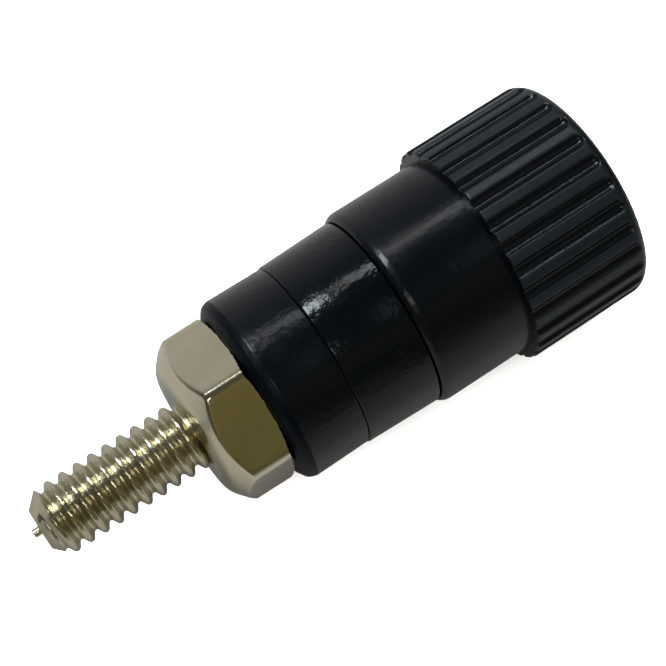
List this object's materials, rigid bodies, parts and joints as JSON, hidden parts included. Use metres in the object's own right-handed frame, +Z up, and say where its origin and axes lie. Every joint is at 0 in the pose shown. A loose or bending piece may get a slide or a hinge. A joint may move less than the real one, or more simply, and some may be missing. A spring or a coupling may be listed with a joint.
{
  "type": "banana socket",
  "caption": "Insulated panel post: fluted black screw cap over a plug socket and wire hole, insulating rings that clamp the panel, and a threaded stud with a hexagon nut behind.",
  "frame": {"origin": "on the post's axis, on the plane where the panel is clamped between the front and rear insulators", "axes": "+X along the post's axis, out of the panel towards the cap's open end; +Z up, along the wire hole; the stud points to -X"},
  "size_m": [0.042, 0.0158, 0.0158],
  "materials": {
    "nickel_plate": "polished nickel plate on brass",
    "black_moulding": "glossy, lightly scuffed"
  },
  "bodies": {
    "post": {"post": "nickel_plate", "front_insulator": "black_moulding"},
    "rear_insulator": {"rear_insulator": "black_moulding"},
    "nut": {"nut": "nickel_plate"},
    "bush": {"bush": "nickel_plate"},
    "cap": {"cap": "black_moulding"}
  },
  "joints": [
    {"name": "rear_slide", "type": "slide", "parent": "post", "child": "rear_insulator", "axis": [-1, 0, 0], "range_m": [0, 0.00635]},
    {"name": "nut_turn", "type": "hinge", "parent": "rear_insulator", "child": "nut", "pos_m": [-0.00705, 0, 0], "axis": [-1, 0, 0], "range_deg": [0, 2160]},
    {"name": "cap_lift", "type": "slide", "parent": "post", "child": "bush", "axis": [1, 0, 0], "range_m": [0, 0.006]},
    {"name": "cap_turn", "type": "hinge", "parent": "bush", "child": "cap", "pos_m": [0.0127, 0, 0], "axis": [1, 0, 0], "range_deg": [0, 2160]}
  ],
  "couplings": [
    {"joint": "nut_turn", "follows": "rear_slide", "rad_per_m": 5936.8},
    {"joint": "cap_turn", "follows": "cap_lift", "rad_per_m": 6283.1}
  ]
}
